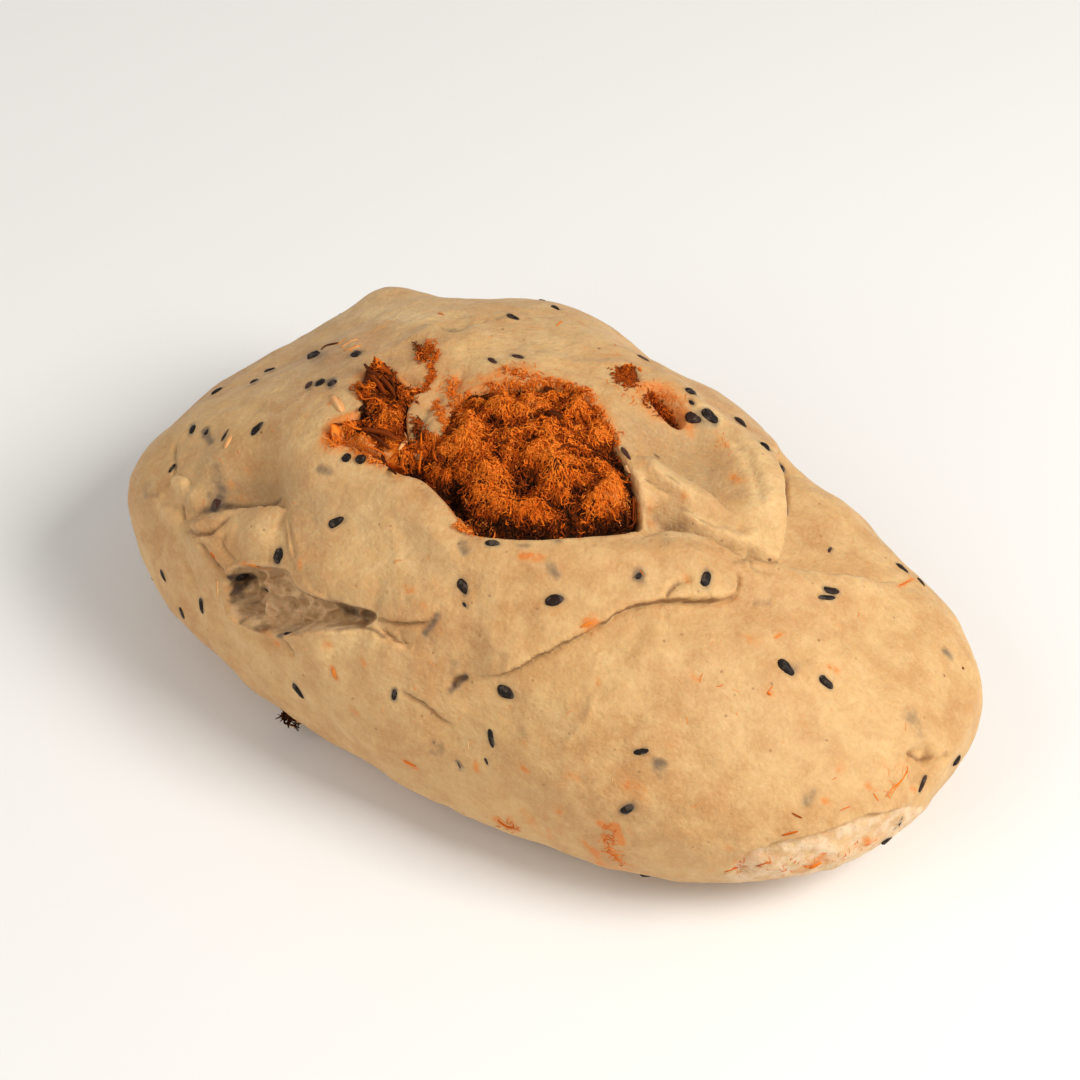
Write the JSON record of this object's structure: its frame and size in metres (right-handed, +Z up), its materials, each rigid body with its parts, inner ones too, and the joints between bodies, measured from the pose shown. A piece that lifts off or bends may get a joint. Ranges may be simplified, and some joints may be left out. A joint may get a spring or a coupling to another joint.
{
  "type": "chicken floss bun",
  "caption": "Soft folded dough roll with black sesame, a torn side and an open pocket on top filled with orange shredded chicken floss.",
  "frame": {"origin": "middle of the bun's bounding box in plan, on the surface that it rests on", "axes": "+X along the bun's length towards its near, lower end; +Y towards its plain back; +Z up"},
  "size_m": [0.1524, 0.103, 0.0588],
  "materials": {
    "dough": "soft pale golden dough, matt with a faint sheen",
    "floss": "dry, frizzy orange shreds"
  },
  "bodies": {
    "root": {"dough": "dough", "floss_filling": "floss", "floss_in_pit": "floss", "floss_lump": "floss"}
  },
  "joints": []
}
